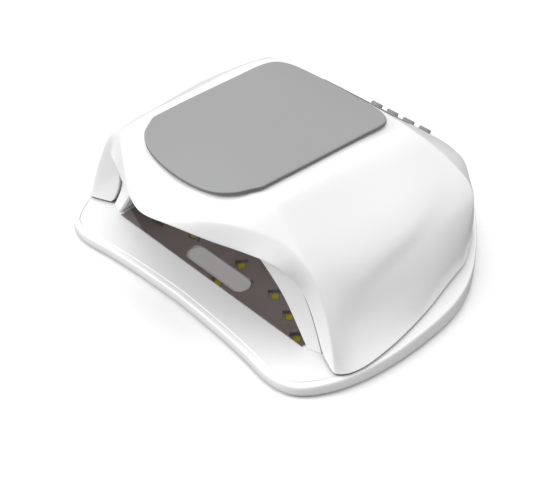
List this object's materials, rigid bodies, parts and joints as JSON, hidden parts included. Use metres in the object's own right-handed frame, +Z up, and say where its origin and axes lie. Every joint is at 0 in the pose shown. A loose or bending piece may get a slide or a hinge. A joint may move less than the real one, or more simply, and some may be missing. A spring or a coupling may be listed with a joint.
{
  "type": "nail lamp",
  "caption": "Desktop nail lamp: white moulded arch over an open hand tunnel lined with light beads, grey hand rest on top, rear display and push buttons, lift-off base tray with a mirror floor.",
  "frame": {"origin": "centre of the footprint, on the surface that the rubber feet stand on", "axes": "+X to the right of someone who faces the hand opening, the opening faces -Y, +Z up"},
  "size_m": [0.2224, 0.203, 0.0895],
  "materials": {
    "shell_white": "high gloss",
    "base_white": "high gloss",
    "tray_white": "gloss",
    "frame_white": "satin",
    "mirror_film": "polished",
    "reflector_silver": "satin metallised",
    "pad_grey": "matt",
    "foot_rubber": "matt",
    "screw_steel": "plain",
    "magnet_nickel": "plated",
    "window_smoke": "high gloss",
    "button_grey": "satin",
    "switch_black": "plain",
    "board_green": "solder mask",
    "board_white": "solder mask",
    "bead_yellow": "phosphor under clear resin",
    "component_black": "plain",
    "jack_black": "plain",
    "sensor_dark": "gloss"
  },
  "bodies": {
    "base": {"base_bottom": "base_white", "base_tray": "tray_white", "mirror_plate": "mirror_film", "rubber_feet": "foot_rubber", "base_screws": "screw_steel", "base_magnets": "magnet_nickel"},
    "lamp": {"upper_shell": "shell_white", "inner_frame": "frame_white", "reflector": "reflector_silver", "hand_rest_pad": "pad_grey", "display_window": "window_smoke", "tact_switches": "switch_black", "control_board": "board_green", "display_module": "component_black", "driver_board": "board_green", "driver_parts": "component_black", "dc_jack": "jack_black", "ceiling_light_board": "board_white", "left_light_board": "board_white", "right_light_board": "board_white", "rear_light_board": "board_white", "ceiling_beads": "bead_yellow", "left_beads": "bead_yellow", "right_beads": "bead_yellow", "rear_beads": "bead_yellow", "hand_sensor": "sensor_dark", "frame_screws": "screw_steel", "board_screws": "screw_steel", "lamp_magnets": "magnet_nickel"},
    "timer_button_1": {"timer_button_1": "button_grey"},
    "timer_button_2": {"timer_button_2": "button_grey"},
    "timer_button_3": {"timer_button_3": "button_grey"},
    "timer_button_4": {"timer_button_4": "button_grey"}
  },
  "joints": [
    {"name": "lamp_lift_off", "type": "slide", "parent": "base", "child": "lamp", "axis": [0, 0, 1], "range_m": [0, 0.1]},
    {"name": "timer_button_1_press", "type": "slide", "parent": "lamp", "child": "timer_button_1", "axis": [0, -0.6184, -0.7858], "range_m": [0, 0.0008], "stiffness_N_per_m": 600, "springref_m": -0.001},
    {"name": "timer_button_2_press", "type": "slide", "parent": "lamp", "child": "timer_button_2", "axis": [0, -0.6184, -0.7858], "range_m": [0, 0.0008], "stiffness_N_per_m": 600, "springref_m": -0.001},
    {"name": "timer_button_3_press", "type": "slide", "parent": "lamp", "child": "timer_button_3", "axis": [0, -0.6184, -0.7858], "range_m": [0, 0.0008], "stiffness_N_per_m": 600, "springref_m": -0.001},
    {"name": "timer_button_4_press", "type": "slide", "parent": "lamp", "child": "timer_button_4", "axis": [0, -0.6184, -0.7858], "range_m": [0, 0.0008], "stiffness_N_per_m": 600, "springref_m": -0.001}
  ]
}
